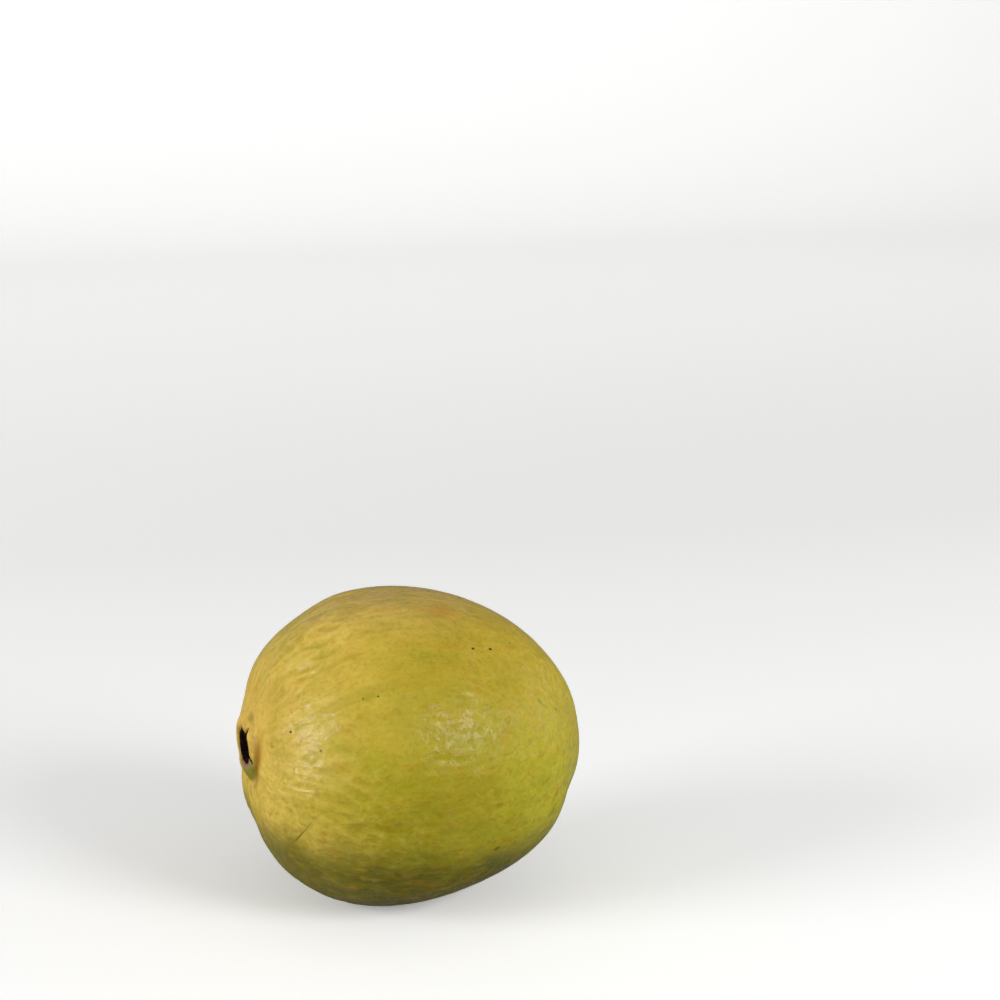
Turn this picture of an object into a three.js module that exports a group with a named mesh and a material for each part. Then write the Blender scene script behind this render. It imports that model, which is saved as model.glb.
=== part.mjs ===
// A whole ripe guava, as picked, lying on its side on a small flat spot.
//
// Millimetres, +Z up. The calyx end looks along -X and the stem end along +X. The origin is on the
// surface that the fruit lies on, under the middle of the fruit.
//
// The fruit grew as one piece, so it is one closed skin in polar form: each point is a distance from
// the middle of the long axis, given by two angles. theta opens from the middle of the crown (0) to
// the stem pole (pi). phi turns round that line, from the back (0) over the top (pi/2) to the front
// (pi) and the underside (3 pi/2).

import * as THREE from 'three';

// ---- Driving dimensions, mm ----

const LENGTH = 88; // calyx end to stem end
const BREADTH = 81.4; // across the middle
const FULLNESS = 4.8; // how much fuller the calyx half is than the stem half
const SHOULDER = 0.75; // squareness of the shoulders of both halves

const REST_LIFT = 2.6; // degrees that the calyx end lies above the stem end
const FLAT_DEPTH = 0.8; // how much the underside is flattened where the fruit lies

// The calyx end: a swollen crown with a split mouth, and a dark cup inside it. It grew a little to
// one side of the egg's own axis. Radii are measured along the skin from the crown's middle.
const CROWN_FRONT = 4.6; // degrees that the crown sits in front of the egg's axis
const CROWN_UP = 3.4; // degrees that it sits above that axis
const MOUTH_RADIUS = 3.5; // middle of the cup's wall
const MOUTH_WALL = 1.4; // width of the cup's wall, seen from the end
const CUP_DEPTH = 4.6;
const STYLE_RADIUS = 0.9; // dried stump of the flower's style, in the middle of the cup
const STYLE_HEIGHT = 1.4;
const LIP_RADIUS = 6.3; // crest of the crown
const LIP_WIDTH = 1.8;
const LIP_HEIGHT = 0.65;
const CROWN_LEAN = 0.17; // slope of the mouth, in mm of height for each mm across
const LEAN_TURN = 67; // degrees, the side of the crown that stands highest
const CROWN_EDGE = 16; // where the crown has run out into the body
const GROOVE_RADIUS = 9.4; // crease between the crown and the body
const GROOVE_WIDTH = 1.1;
const GROOVE_DEPTH = 0.8;
const GROOVE_TURN = 208; // degrees, where the crease is deepest

// Splits that run out from the mouth between the dried sepals, and notch the lip where they cross
// it. Turn and spread in degrees, reach in mm.
const SPLITS = [
  { turn: 72, spread: 9, reach: 0.7 },
  { turn: 124, spread: 5, reach: 2.8 },
  { turn: 198, spread: 5, reach: 3.4 },
  { turn: 268, spread: 7, reach: 0.5 },
  { turn: 328, spread: 6, reach: 1.2 },
];
const SPLIT_EDGE = 9.4; // mm from the crown's middle where the splits no longer move the skin
const NOTCH_SPREAD = 8; // degrees
const NOTCH_SHARE = 0.7; // part of the lip's height that is lost in a notch

// The stem end: a shallow dimple with the scar of the stalk in it.
const DIMPLE_RADIUS = 5;
const DIMPLE_DEPTH = 1.3;
const SCAR_RADIUS = 1.9; // woody rim of the scar
const SCAR_WIDTH = 0.6;
const SCAR_HEIGHT = 0.7;
const PIT_RADIUS = 0.9; // soft middle of the scar
const PIT_DEPTH = 0.5;

// Broad swells (plus) and flats (minus) in the skin. Places and spreads in degrees, heights in mm.
const SWELLS = [
  { name: 'flat over the calyx shoulder', theta: 46, phi: 73, spread: 10, height: -1 },
  { name: 'swell behind that flat', theta: 63, phi: 77, spread: 10, height: 0.4 },
  { name: 'swell behind the crown', theta: 30, phi: 44, spread: 13, height: 0.6 },
  { name: 'full lower lobe of the lip', theta: 9, phi: 298, spread: 4, height: 0.5 },
  { name: 'hollow beside the crown', theta: 20, phi: 296, spread: 7, height: -0.6 },
  { name: 'hollow under the crown', theta: 25, phi: 256, spread: 8, height: -0.7 },
  { name: 'swell under that hollow', theta: 33, phi: 250, spread: 7, height: 0.2 },
  { name: 'swell of the lower stem shoulder', theta: 146, phi: 214, spread: 9, height: 0.3 },
  { name: 'flat on the front stem shoulder', theta: 154, phi: 202, spread: 9, height: -0.9 },
  { name: 'corner beside the stem end', theta: 167, phi: 190, spread: 9, height: 0.4 },
  { name: 'swell of the front', theta: 96, phi: 172, spread: 26, height: 0.4 },
  { name: 'flat of the back', theta: 84, phi: 338, spread: 24, height: -0.6 },
  { name: 'swell of the back shoulder', theta: 122, phi: 24, spread: 16, height: 0.45 },
  { name: 'pressed underside', theta: 70, phi: 270, spread: 22, height: -0.8 },
];

// Low, uneven undulation of the whole skin.
const ROLL_RISE = 0.2; // mm, root mean square
const ROLL_RATE = 8; // radians of wave for each radian of skin
const ROLL_SEED = 43;

// Low ridges and creases that run from end to end and draw together on the crown.
const RIDGE_RISE = 0.13; // mm, root mean square
const RIDGE_AROUND = 15; // radians of wave for each radian round the fruit
const RIDGE_ALONG = 3.2; // the same from end to end
const RIDGE_SEED = 47;
const RIDGE_START = [9, 24]; // degrees from the crown's middle where the ridges rise out of the crown
const RIDGE_END = [138, 172]; // degrees where they run out towards the stem end
const RIDGE_CALYX_GAIN = 0.9; // how much stronger they are behind the crown
const RIDGE_CALYX_REACH = 34; // degrees

const WAVE_COUNT = 14; // cosines in each uneven pattern

// ---- Mesh ----

const SEGMENTS = 84; // round the long axis
const BODY_RINGS = 33;
const BODY_RANGE = [19.5, 171]; // degrees, rings of even spacing
const CALYX_RINGS = [0.9, 1.9, 2.8, 3.2, 3.6, 4.0, 4.4, 5.0, 5.7, 6.5, 7.3, 8.1, 8.9, 9.7, 10.8, 12.6]; // mm
const STEM_RINGS = [5.4, 4.1, 3.0, 2.1, 1.3, 0.7]; // mm

const RADIANS = Math.PI / 180;
const HALF_LENGTH = LENGTH / 2;

const ACROSS = new THREE.Vector3(0, 1, 0);
const UP = new THREE.Vector3(0, 0, 1);

// ---- Small functions ----

// A bell of height 1 at zero that has fallen to 1/e at one width.
function bell(offset, width) {
  return Math.exp(-((offset / width) ** 2));
}

// The smallest turn from one angle to another, in degrees.
function turnBetween(from, to) {
  return ((((to - from) % 360) + 540) % 360) - 180;
}

// A repeatable number between 0 and 1 for each whole number.
function scatter(index) {
  const value = Math.sin(index * 12.9898) * 43758.5453;
  return value - Math.floor(value);
}

// Uneven pattern with a root mean square of 1: cosines whose directions and phases are scattered.
function waves(x, y, z, seed) {
  let sum = 0;
  for (let i = 0; i < WAVE_COUNT; i += 1) {
    const turn = 2 * Math.PI * scatter(seed + 3 * i);
    const rise = 2 * scatter(seed + 3 * i + 1) - 1;
    const level = Math.sqrt(1 - rise * rise);
    const phase = 2 * Math.PI * scatter(seed + 3 * i + 2);
    sum += Math.cos(x * level * Math.cos(turn) + y * level * Math.sin(turn) + z * rise + phase);
  }
  return sum * Math.sqrt(2 / WAVE_COUNT);
}

// Unit vector from the middle of the fruit for the two angles.
function direction(theta, phi) {
  return new THREE.Vector3(
    -Math.cos(theta),
    Math.sin(theta) * Math.cos(phi),
    Math.sin(theta) * Math.sin(phi),
  );
}

// ---- The skin's distance from the middle, in parts ----

// Where the egg's own axis leaves the calyx end: behind the crown's middle, and below it.
const EGG_POLE = new THREE.Vector3(-1, 0, 0)
  .applyAxisAngle(ACROSS, -CROWN_UP * RADIANS)
  .applyAxisAngle(UP, -CROWN_FRONT * RADIANS);

// Smooth egg: an oval of LENGTH by BREADTH about its own axis, drawn fuller towards the calyx end.
function egg(toward) {
  const theta = toward.angleTo(EGG_POLE);
  const mean = (LENGTH + BREADTH) / 4;
  const stretch = ((LENGTH - BREADTH) / 4) * Math.cos(2 * theta);
  const fuller = FULLNESS * Math.cos(theta) * Math.sin(theta) ** 2;
  return mean + stretch + fuller + SHOULDER * Math.sin(2 * theta) ** 2;
}

function swells(toward) {
  return SWELLS.reduce((sum, swell) => {
    const middle = direction(swell.theta * RADIANS, swell.phi * RADIANS);
    return sum + swell.height * bell(toward.angleTo(middle) / RADIANS, swell.spread);
  }, 0);
}

function ridges(theta, phi) {
  const degrees = theta / RADIANS;
  const fade = THREE.MathUtils.smoothstep(degrees, ...RIDGE_START)
    * (1 - THREE.MathUtils.smoothstep(degrees, ...RIDGE_END));
  const gain = 1 + RIDGE_CALYX_GAIN * bell(degrees, RIDGE_CALYX_REACH);
  const pattern = waves(
    RIDGE_AROUND * Math.cos(phi),
    RIDGE_AROUND * Math.sin(phi),
    RIDGE_ALONG * theta,
    RIDGE_SEED,
  );
  return RIDGE_RISE * gain * fade * pattern;
}

// Sum of bells round the mouth: one at the turn of each split, with its own spread and height.
function splitBells(phi, spreadOf, heightOf) {
  return SPLITS.reduce(
    (sum, split) => sum + heightOf(split) * bell(turnBetween(split.turn, phi / RADIANS), spreadOf(split)),
    0,
  );
}

// Crown, mouth and cup, where arc is the distance along the skin from the crown's middle.
function crown(arc, phi) {
  const { smoothstep } = THREE.MathUtils;
  const wallStart = MOUTH_RADIUS - MOUTH_WALL / 2;
  const wallEnd = MOUTH_RADIUS + MOUTH_WALL / 2;
  const cup = -CUP_DEPTH * (1 - smoothstep(arc, wallStart, wallEnd));
  const style = STYLE_HEIGHT * bell(arc, STYLE_RADIUS);
  const notches = splitBells(phi, () => NOTCH_SPREAD, () => NOTCH_SHARE);
  const lip = LIP_HEIGHT * (1 - notches) * bell(arc - LIP_RADIUS, LIP_WIDTH);
  const slope = CROWN_LEAN * Math.min(arc, LIP_RADIUS) * Math.cos(phi - LEAN_TURN * RADIANS);
  const lean = slope * (1 - smoothstep(arc, LIP_RADIUS, CROWN_EDGE));
  const crease = (1 + Math.cos(phi - GROOVE_TURN * RADIANS)) / 2;
  const groove = -GROOVE_DEPTH * crease * bell(arc - GROOVE_RADIUS, GROOVE_WIDTH);
  return cup + style + lip + lean + groove;
}

// Dimple and stalk scar, where arc is the distance along the skin from the stem pole.
function stemEnd(arc) {
  const dimple = -DIMPLE_DEPTH * bell(arc, DIMPLE_RADIUS);
  const rim = SCAR_HEIGHT * bell(arc - SCAR_RADIUS, SCAR_WIDTH);
  return dimple + rim - PIT_DEPTH * bell(arc, PIT_RADIUS);
}

// One point of the skin, in the fruit's own frame. arc is the nominal distance from the crown's
// middle: rings inside the crown are pushed outwards where a split opens the mouth.
function skinPoint(arc, phi) {
  const { smoothstep } = THREE.MathUtils;
  const hold = Math.min(arc / MOUTH_RADIUS, 1) * (1 - smoothstep(arc, MOUTH_RADIUS, SPLIT_EDGE));
  const opened = splitBells(phi, (split) => split.spread, (split) => split.reach);
  const theta = (arc + opened * hold) / HALF_LENGTH;
  const toward = direction(theta, phi);
  const roll = waves(toward.x * ROLL_RATE, toward.y * ROLL_RATE, toward.z * ROLL_RATE, ROLL_SEED);
  const reach = egg(toward)
    + swells(toward)
    + ROLL_RISE * roll
    + ridges(theta, phi)
    + crown(arc, phi)
    + stemEnd(Math.PI * HALF_LENGTH - arc);
  return toward.multiplyScalar(reach);
}

// ---- The fruit ----

// Nominal distances of all rings from the crown's middle, in mm.
function ringArcs() {
  const [first, last] = BODY_RANGE;
  const step = (last - first) / (BODY_RINGS - 1);
  const body = Array.from({ length: BODY_RINGS }, (_, i) => (first + step * i) * RADIANS * HALF_LENGTH);
  const stem = STEM_RINGS.map((arc) => Math.PI * HALF_LENGTH - arc);
  return [...CALYX_RINGS, ...body, ...stem];
}

// Lays the points down as the fruit rests: the egg's axis turned along X and its calyx end lifted,
// the underside flattened, and the origin brought under the middle.
function layDown(points) {
  points.forEach((point) => {
    point.applyAxisAngle(UP, CROWN_FRONT * RADIANS);
    point.applyAxisAngle(ACROSS, (CROWN_UP + REST_LIFT) * RADIANS);
  });
  const box = new THREE.Box3().setFromPoints(points);
  const middle = box.getCenter(new THREE.Vector3());
  const ground = box.min.z + FLAT_DEPTH;
  points.forEach((point) => {
    point.set(point.x - middle.x, point.y - middle.y, Math.max(point.z - ground, 0));
  });
}

// Closed grid of rings between the two poles, with its faces turned outwards.
function fruitGeometry() {
  const arcs = ringArcs();
  const points = [skinPoint(0, 0)];
  arcs.forEach((arc) => {
    for (let i = 0; i < SEGMENTS; i += 1) {
      points.push(skinPoint(arc, (2 * Math.PI * i) / SEGMENTS));
    }
  });
  points.push(skinPoint(Math.PI * HALF_LENGTH, 0));
  layDown(points);

  const at = (ring, i) => 1 + ring * SEGMENTS + (i % SEGMENTS);
  const stemPole = points.length - 1;
  const lastRing = arcs.length - 1;
  const faces = [];
  for (let i = 0; i < SEGMENTS; i += 1) {
    faces.push(0, at(0, i + 1), at(0, i));
    for (let ring = 0; ring < lastRing; ring += 1) {
      faces.push(at(ring, i), at(ring, i + 1), at(ring + 1, i));
      faces.push(at(ring, i + 1), at(ring + 1, i + 1), at(ring + 1, i));
    }
    faces.push(at(lastRing, i), at(lastRing, i + 1), stemPole);
  }

  const geometry = new THREE.BufferGeometry();
  geometry.setAttribute('position', new THREE.Float32BufferAttribute(points.flatMap((p) => p.toArray()), 3));
  geometry.setIndex(faces);
  geometry.computeVertexNormals();
  return geometry;
}

function guavaFruit() {
  const skin = new THREE.MeshStandardMaterial({ color: 0xb5a63c, roughness: 0.42, metalness: 0 });
  const fruit = new THREE.Mesh(fruitGeometry(), skin);
  fruit.name = 'guava_fruit';
  return fruit;
}

const guava = new THREE.Group();
guava.add(guavaFruit());

export default guava;
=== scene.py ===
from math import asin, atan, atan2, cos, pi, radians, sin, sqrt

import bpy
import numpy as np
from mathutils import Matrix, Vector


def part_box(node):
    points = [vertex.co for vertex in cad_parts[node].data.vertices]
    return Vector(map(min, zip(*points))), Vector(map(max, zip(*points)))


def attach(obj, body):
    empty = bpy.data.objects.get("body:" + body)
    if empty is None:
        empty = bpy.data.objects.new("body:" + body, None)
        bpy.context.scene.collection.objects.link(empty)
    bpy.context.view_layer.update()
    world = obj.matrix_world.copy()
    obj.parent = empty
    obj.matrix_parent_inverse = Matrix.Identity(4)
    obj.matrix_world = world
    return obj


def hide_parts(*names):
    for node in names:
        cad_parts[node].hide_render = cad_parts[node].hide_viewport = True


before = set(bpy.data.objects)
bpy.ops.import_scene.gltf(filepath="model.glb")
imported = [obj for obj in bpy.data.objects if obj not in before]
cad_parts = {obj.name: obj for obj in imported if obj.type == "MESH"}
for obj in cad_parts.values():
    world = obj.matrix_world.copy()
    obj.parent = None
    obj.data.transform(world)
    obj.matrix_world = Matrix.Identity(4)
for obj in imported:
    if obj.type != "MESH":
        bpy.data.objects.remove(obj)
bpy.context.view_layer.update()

# A ripe guava lying on its side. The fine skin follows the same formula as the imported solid, in
# millimetres and in the fruit's own frame, and is then laid down and fitted to the solid's box.
# theta opens from the crown's middle (0, on the -X side) to the stem pole (pi). phi turns round
# that line, from the back (0) over the top (90 degrees) to the front (180) and the underside (270).
# An arc is theta times half the length, and a nominal arc is one before the mouth's splits move it.

MM = 0.001
NODE = "guava_fruit"

# ---- The fruit's form, mm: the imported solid's own driving dimensions ----

LENGTH = 88.0
BREADTH = 81.4
FULLNESS = 4.8
SHOULDER = 0.75
REST_LIFT = 2.6  # degrees that the calyx end is lifted
FLAT_DEPTH = 0.8

CROWN_FRONT = 4.6  # degrees that the crown sits in front of the egg's own axis
CROWN_UP = 3.4  # degrees that the crown sits above it
MOUTH_RADIUS = 3.5
MOUTH_WALL = 1.4
CUP_DEPTH = 4.6
STYLE_RADIUS = 0.9
STYLE_HEIGHT = 1.4
LIP_RADIUS = 6.3
LIP_WIDTH = 1.8
LIP_HEIGHT = 0.65
CROWN_LEAN = 0.17  # mm of rise for each mm of arc, towards LEAN_TURN
LEAN_TURN = 67
CROWN_EDGE = 16.0
GROOVE_RADIUS = 9.4
GROOVE_WIDTH = 1.1
GROOVE_DEPTH = 0.8
GROOVE_TURN = 208
# Splits of the mouth: turn and spread in degrees, reach in mm.
SPLITS = ((72, 9, 0.7), (124, 5, 2.8), (198, 5, 3.4), (268, 7, 0.5), (328, 6, 1.2))
SPLIT_EDGE = 9.4
NOTCH_SPREAD = 8
NOTCH_SHARE = 0.7

DIMPLE_RADIUS = 5.0
DIMPLE_DEPTH = 1.3
SCAR_RADIUS = 1.9
SCAR_WIDTH = 0.6
SCAR_HEIGHT = 0.7
PIT_RADIUS = 0.9
PIT_DEPTH = 0.5

# Broad swells and flats: theta, phi and spread in degrees, height in mm.
SWELLS = (
    (46, 73, 10, -1.0),
    (63, 77, 10, 0.4),
    (30, 44, 13, 0.6),
    (9, 298, 4, 0.5),
    (20, 296, 7, -0.6),
    (25, 256, 8, -0.7),
    (33, 250, 7, 0.2),
    (146, 214, 9, 0.3),
    (154, 202, 9, -0.9),
    (167, 190, 9, 0.4),
    (96, 172, 26, 0.4),
    (84, 338, 24, -0.6),
    (122, 24, 16, 0.45),
    (70, 270, 22, -0.8),
)

ROLL_RISE = 0.2
ROLL_RATE = 8.0
ROLL_SEED = 43
RIDGE_RISE = 0.13
RIDGE_AROUND = 15.0
RIDGE_ALONG = 3.2
RIDGE_SEED = 47
RIDGE_START = (9, 24)
RIDGE_END = (138, 172)
RIDGE_CALYX_GAIN = 0.9
RIDGE_CALYX_REACH = 34
WAVE_COUNT = 14

# ---- Fine relief that only this skin has ----

WRINKLE_RISE = 0.15  # mm, from a wrinkle's foot to its crest where wrinkles are strongest
WRINKLE_COUNT = 40  # cosines in a wrinkle pattern
BEND_RATE, BEND_REACH, BEND_SEED = 8.0, 2.6, 5  # broad waves that bend the wrinkles
CREASE_AROUND, CREASE_ALONG = 50.0, 15.0  # long wrinkles: radians of wave for a radian of skin
CREASE_SEED = 131
PUCKER_RATE = 62.0  # short wrinkles: the same, in every direction
PUCKER_BEND = 1.5  # how much more they bend than the long ones
PUCKER_SEED = 307
PUCKER_SHARE = 0.7  # their most, reached over these degrees of theta
PUCKER_ZONE = (45, 85)
CREST_ROUNDING = 0.05
PATCH_RATE, PATCH_SEED = 6.0, 71  # patches where the wrinkles come and go
PATCH_EDGE = 0.8
# Degrees of theta over which the wrinkles begin, and then weaken to nothing at the stem end.
WRINKLE_START = (13, 24)
WRINKLE_MIDDLE, MIDDLE_LOSS = (60, 110), 0.55
WRINKLE_LATE, LATE_LOSS = (120, 150), 0.6
WRINKLE_END, END_LOSS = (150, 172), 0.4
FOOT_FADE = (0.1, 2.0)  # mm above the ground over which they begin beside the flat spot

# ---- The skin's grid: first and last arc of each set of rings, mm, and their number ----

SEGMENTS = 400
MOUTH_RINGS = (0.35, 2.6, 6)
WALL_RINGS = (2.8, 7.0, 24)
SHOULDER_RINGS = (7.3, 14.6, 18)
BODY_RING_COUNT = 172
SCAR_RINGS = (6.2, 0.3, 18)  # counted back from the stem pole

# ---- Dried stamens, mm: each pair is the least value and how much more its scatter may add ----

STAMEN_COUNT = 64
STAMEN_RINGS = 14
STAMEN_SIDES = 8
STAMEN_RADIUS = 0.065
STAMEN_TAPER = 0.35
KNOB_PLACE, KNOB_SPREAD, KNOB_GAIN = 0.95, 0.05, 0.9
STAMEN_FOOT = (1.0, 1.5)  # distance of the foot from the cup's middle
STAMEN_TIP = (0.3, 0.9)  # distance of the tip, as a share of the foot's
STAMEN_TALL = (1.2, 2.2)
STAMEN_BOW = 0.25
STAMEN_SWIRL = 1.6  # radians that tips scatter round the cup
STAMEN_SUNK = 0.3
GOLDEN_TURN = 137.5  # degrees from one stamen to the next

SCATTER_RATE, SCATTER_SIZE = 12.9898, 43758.5453
HALF_LENGTH = LENGTH / 2
NO_GROUND = -1000.0  # so low that nothing is flattened on it
FRUIT_CENTRE = Vector((0.0, 0.0, 0.040))


# ---- Fields over the skin, computed as whole arrays ----


def bell(offset, width):
    """Height 1 where the offset is zero, fallen to 1/e at one width."""
    return np.exp(-((offset / width) ** 2))


def smooth_step(value, start, end):
    """Rises from 0 at start to 1 at end along a cubic that is level at both."""
    t = np.clip((value - start) / (end - start), 0.0, 1.0)
    return t * t * (3.0 - 2.0 * t)


def scatter(index):
    """A repeatable number between 0 and 1: the fraction of a large sine of the index."""
    value = sin(index * SCATTER_RATE) * SCATTER_SIZE
    return value - np.floor(value)


def waves(space, seed, count=WAVE_COUNT):
    """Sum of cosines in scattered directions and phases, scaled to a root mean square of 1."""
    total = np.zeros(space.shape[:-1])
    for i in range(count):
        turn = 2 * pi * scatter(seed + 3 * i)
        rise = 2 * scatter(seed + 3 * i + 1) - 1
        level = sqrt(1 - rise * rise)
        way = np.array((level * cos(turn), level * sin(turn), rise))
        total += np.cos(space @ way + 2 * pi * scatter(seed + 3 * i + 2))
    return total * sqrt(2 / count)


def direction(theta, phi):
    """Unit vector: minus cosine of theta along X, the sine spread over Y and Z by phi."""
    across = np.sin(theta)
    return np.stack((-np.cos(theta), across * np.cos(phi), across * np.sin(phi)), axis=-1)


def around_and_along(theta, phi, around, lengthwise):
    """Space in which a full turn is a circle of radius `around` and theta runs `lengthwise`."""
    return np.stack((around * np.cos(phi), around * np.sin(phi), lengthwise * theta), axis=-1)


def egg(toward):
    """Mean radius, plus a cos 2 theta stretch, a fuller calyx half and squarer shoulders.

    theta is counted from the egg's own pole, which lies behind the crown's middle and below it.
    """
    front, up = radians(CROWN_FRONT), radians(CROWN_UP)
    pole = np.array((-cos(up) * cos(front), cos(up) * sin(front), -sin(up)))
    theta = np.arccos(np.clip(toward @ pole, -1, 1))
    mean = (LENGTH + BREADTH) / 4
    stretch = (LENGTH - BREADTH) / 4 * np.cos(2 * theta)
    fuller = FULLNESS * np.cos(theta) * np.sin(theta) ** 2
    return mean + stretch + fuller + SHOULDER * np.sin(2 * theta) ** 2


def swells(toward):
    """Sum of bells of the angle between the point and each swell's middle."""
    total = np.zeros(toward.shape[:-1])
    for theta, phi, spread, height in SWELLS:
        middle = direction(np.radians(theta), np.radians(phi))
        angle = np.degrees(np.arccos(np.clip(toward @ middle, -1, 1)))
        total += height * bell(angle, spread)
    return total


def ridges(theta, phi):
    """Low ridges from end to end: stretched waves that fade at both poles."""
    degrees = np.degrees(theta)
    fade = smooth_step(degrees, *RIDGE_START) * (1 - smooth_step(degrees, *RIDGE_END))
    gain = 1 + RIDGE_CALYX_GAIN * bell(degrees, RIDGE_CALYX_REACH)
    space = around_and_along(theta, phi, RIDGE_AROUND, RIDGE_ALONG)
    return RIDGE_RISE * gain * fade * waves(space, RIDGE_SEED)


def turn_bells(phi, bells):
    """Sum of bells of the turn, one for each (turn, spread, height), in degrees."""
    total = np.zeros(np.shape(phi))
    for turn, spread, height in bells:
        away = (np.degrees(phi) - turn + 180) % 360 - 180
        total += height * bell(away, spread)
    return total


def crown(arc, phi):
    """Cup wall as a step in arc, style stump, lip notched at the splits, lean and outer crease."""
    wall = (MOUTH_RADIUS - MOUTH_WALL / 2, MOUTH_RADIUS + MOUTH_WALL / 2)
    cup = -CUP_DEPTH * (1 - smooth_step(arc, *wall))
    style = STYLE_HEIGHT * bell(arc, STYLE_RADIUS)
    notches = turn_bells(phi, [(turn, NOTCH_SPREAD, NOTCH_SHARE) for turn, _, _ in SPLITS])
    lip = LIP_HEIGHT * (1 - notches) * bell(arc - LIP_RADIUS, LIP_WIDTH)
    lean = CROWN_LEAN * np.minimum(arc, LIP_RADIUS) * np.cos(phi - radians(LEAN_TURN))
    lean *= 1 - smooth_step(arc, LIP_RADIUS, CROWN_EDGE)
    crease = (1 + np.cos(phi - radians(GROOVE_TURN))) / 2
    groove = GROOVE_DEPTH * crease * bell(arc - GROOVE_RADIUS, GROOVE_WIDTH)
    return cup + style + lip + lean - groove


def stem_end(arc):
    """Bell-shaped dimple with a ring-shaped woody rim and a small pit in its middle."""
    dimple = -DIMPLE_DEPTH * bell(arc, DIMPLE_RADIUS)
    rim = SCAR_HEIGHT * bell(arc - SCAR_RADIUS, SCAR_WIDTH)
    return dimple + rim - PIT_DEPTH * bell(arc, PIT_RADIUS)


def skin_angle(arc, phi):
    """theta of a nominal arc: rings in the crown move outwards where a split opens the mouth."""
    hold = np.minimum(arc / MOUTH_RADIUS, 1) * (1 - smooth_step(arc, MOUTH_RADIUS, SPLIT_EDGE))
    return (arc + turn_bells(phi, SPLITS) * hold) / HALF_LENGTH


def form(arc, phi):
    """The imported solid's own surface: egg, swells, roll, ridges, crown and stem end added up."""
    theta = skin_angle(arc, phi)
    toward = direction(theta, phi)
    reach = egg(toward) + swells(toward) + ROLL_RISE * waves(ROLL_RATE * toward, ROLL_SEED)
    reach += ridges(theta, phi) + crown(arc, phi) + stem_end(pi * HALF_LENGTH - arc)
    return toward * reach[..., None]


def crests(pattern):
    """Narrow crests along the zero lines of a wave pattern, with round hollows between them."""
    return 1 - np.sqrt(pattern**2 + CREST_ROUNDING)


def wrinkles(theta, phi):
    """Long wrinkles that fan out from the crown, mixed with short puckers further along.

    Both are the crests of bent waves. Broad waves make patches where they are strong and weak, and
    they fade out on the crown and towards the stem end.
    """
    toward = direction(theta, phi)
    degrees = np.degrees(theta)
    bend = BEND_REACH * waves(BEND_RATE * toward, BEND_SEED)[..., None]
    lines = around_and_along(theta, phi, CREASE_AROUND, CREASE_ALONG)
    creases = crests(waves(lines + bend, CREASE_SEED, WRINKLE_COUNT))
    short = PUCKER_RATE * toward + PUCKER_BEND * bend
    puckers = crests(waves(short, PUCKER_SEED, WRINKLE_COUNT))
    long_share = 1 - PUCKER_SHARE * smooth_step(degrees, *PUCKER_ZONE)
    ups_and_downs = waves(PATCH_RATE * toward, PATCH_SEED)
    patches = 0.5 + 0.5 * smooth_step(ups_and_downs, -PATCH_EDGE, PATCH_EDGE)
    fade = smooth_step(degrees, *WRINKLE_START)
    fade = fade * (1 - MIDDLE_LOSS * smooth_step(degrees, *WRINKLE_MIDDLE))
    late = LATE_LOSS * smooth_step(degrees, *WRINKLE_LATE)
    fade *= 1 - late - END_LOSS * smooth_step(degrees, *WRINKLE_END)
    return fade * patches * (long_share * creases + (1 - long_share) * puckers)


# ---- Meshes ----


def laid_down(points, middle, ground):
    """Points turned about Z and Y until the egg lies along X, with its calyx end lifted.

    They are then moved, and the underside is flattened on the ground.
    """
    swing = Matrix.Rotation(radians(CROWN_FRONT), 3, "Z")
    turn = Matrix.Rotation(radians(CROWN_UP + REST_LIFT), 3, "Y") @ swing
    x, y, z = np.moveaxis(points @ np.array(turn).T, -1, 0)
    return np.stack((x - middle[0], y - middle[1], np.maximum(z - ground, 0.0)), axis=-1)


def ring_arcs():
    """Nominal arcs of the rings, mm: close together over the mouth and the scar, even between."""
    mouth = np.linspace(*MOUTH_RINGS)
    wall = np.linspace(*WALL_RINGS)
    shoulder = np.linspace(*SHOULDER_RINGS)
    scar = pi * HALF_LENGTH - np.linspace(*SCAR_RINGS)
    body = np.linspace(shoulder[-1], scar[0], BODY_RING_COUNT + 2)[1:-1]
    return np.concatenate((mouth, wall, shoulder, body, scar))


def ring_turns():
    """phi of the points along a ring."""
    return np.linspace(0, 2 * pi, SEGMENTS, endpoint=False)


def grid_faces(count, segments):
    """Quads between rings of points, with a fan of triangles round the pole at either end."""
    here = np.arange(segments)
    after = (here + 1) % segments
    first = 1 + np.arange(count - 1)[:, None] * segments
    following = first + segments
    quads = np.stack((first + here, first + after, following + after, following + here), -1)
    start_fan = np.stack((np.zeros(segments, int), 1 + after, 1 + here), -1)
    last = 1 + (count - 1) * segments
    end_fan = np.stack((last + here, last + after, np.full(segments, last + segments)), -1)
    return start_fan, quads.reshape(-1, 4), end_fan


def new_piece(name, points, faces, attributes):
    """A smooth mesh object at the origin, with values stored at its points under given names."""
    mesh = bpy.data.meshes.new(name)
    mesh.from_pydata(points.tolist(), [], faces)
    mesh.polygons.foreach_set("use_smooth", np.ones(len(mesh.polygons), bool))
    for label, values in attributes.items():
        kind, field = ("FLOAT_VECTOR", "vector") if values.ndim == 2 else ("FLOAT", "value")
        layer = mesh.attributes.new(label, kind, "POINT")
        layer.data.foreach_set(field, values.ravel().astype(np.float32))
    mesh.update()
    piece = bpy.data.objects.new(name, mesh)
    bpy.context.scene.collection.objects.link(piece)
    return piece


def grid_values(field, arcs, turns):
    """A field of arc and phi over the whole grid, pole values first and last, as a flat array."""
    inside = field(arcs[:, None] + 0 * turns, 0 * arcs[:, None] + turns)
    ends = field(np.array((0.0, pi * HALF_LENGTH)), np.zeros(2))
    flat = inside.reshape(-1, *inside.shape[2:])
    return np.concatenate((ends[:1], flat, ends[1:]))


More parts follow.
